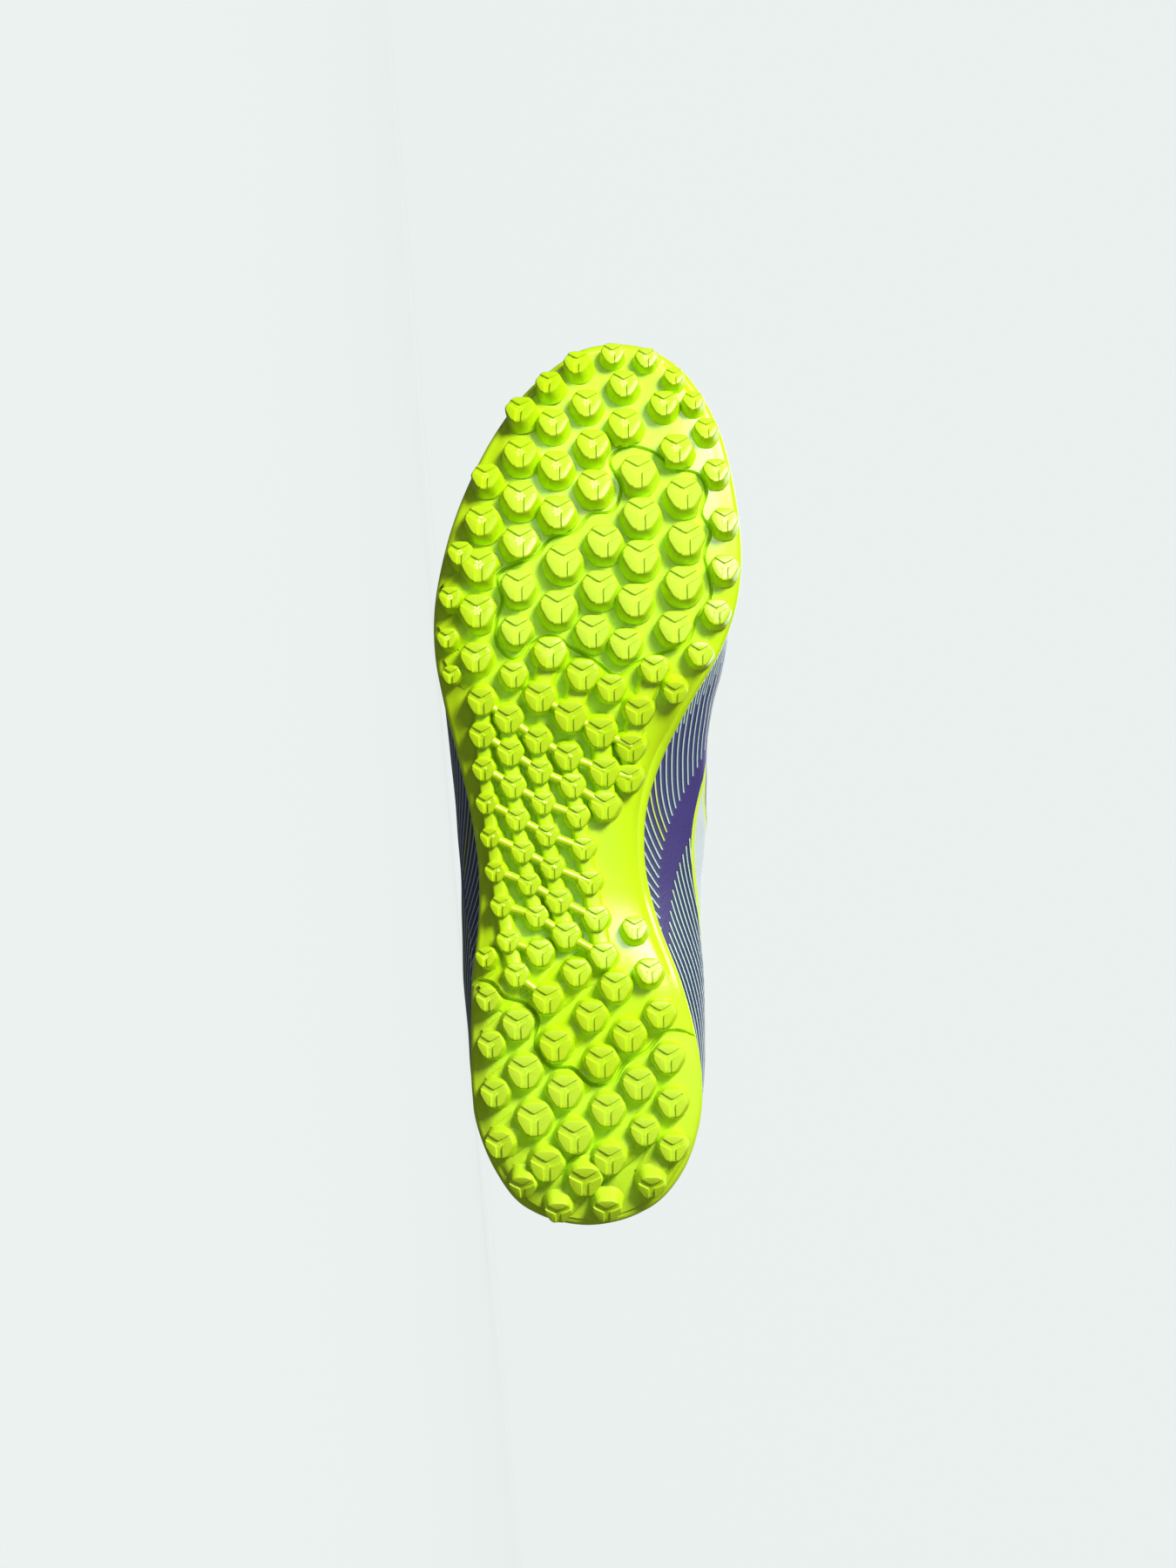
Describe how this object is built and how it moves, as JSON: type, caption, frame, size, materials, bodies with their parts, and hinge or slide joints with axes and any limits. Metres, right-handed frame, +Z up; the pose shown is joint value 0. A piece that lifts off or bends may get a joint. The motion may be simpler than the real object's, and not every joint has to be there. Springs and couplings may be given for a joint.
{
  "type": "turf shoe",
  "caption": "Low-cut laced turf shoe for the right foot: hollow textile upper on a one-piece rubber sole covered in short six-sided lugs, lying on its side.",
  "frame": {"origin": "centre of the footprint, at the floor that the shoe lies on", "axes": "+Z up, away from the floor and towards the shoe's medial side; -X towards the toe; -Y the way the sole faces"},
  "size_m": [0.28, 0.1032, 0.0999],
  "materials": {
    "lime_rubber": "satin",
    "indigo_textile": "matte",
    "dark_mesh": "matte",
    "grey_foam": "matte",
    "lime_cord": "matte"
  },
  "bodies": {
    "root": {"outsole": "lime_rubber", "upper": "indigo_textile", "tongue": "dark_mesh", "insole": "grey_foam", "lacing": "lime_cord"}
  },
  "joints": []
}
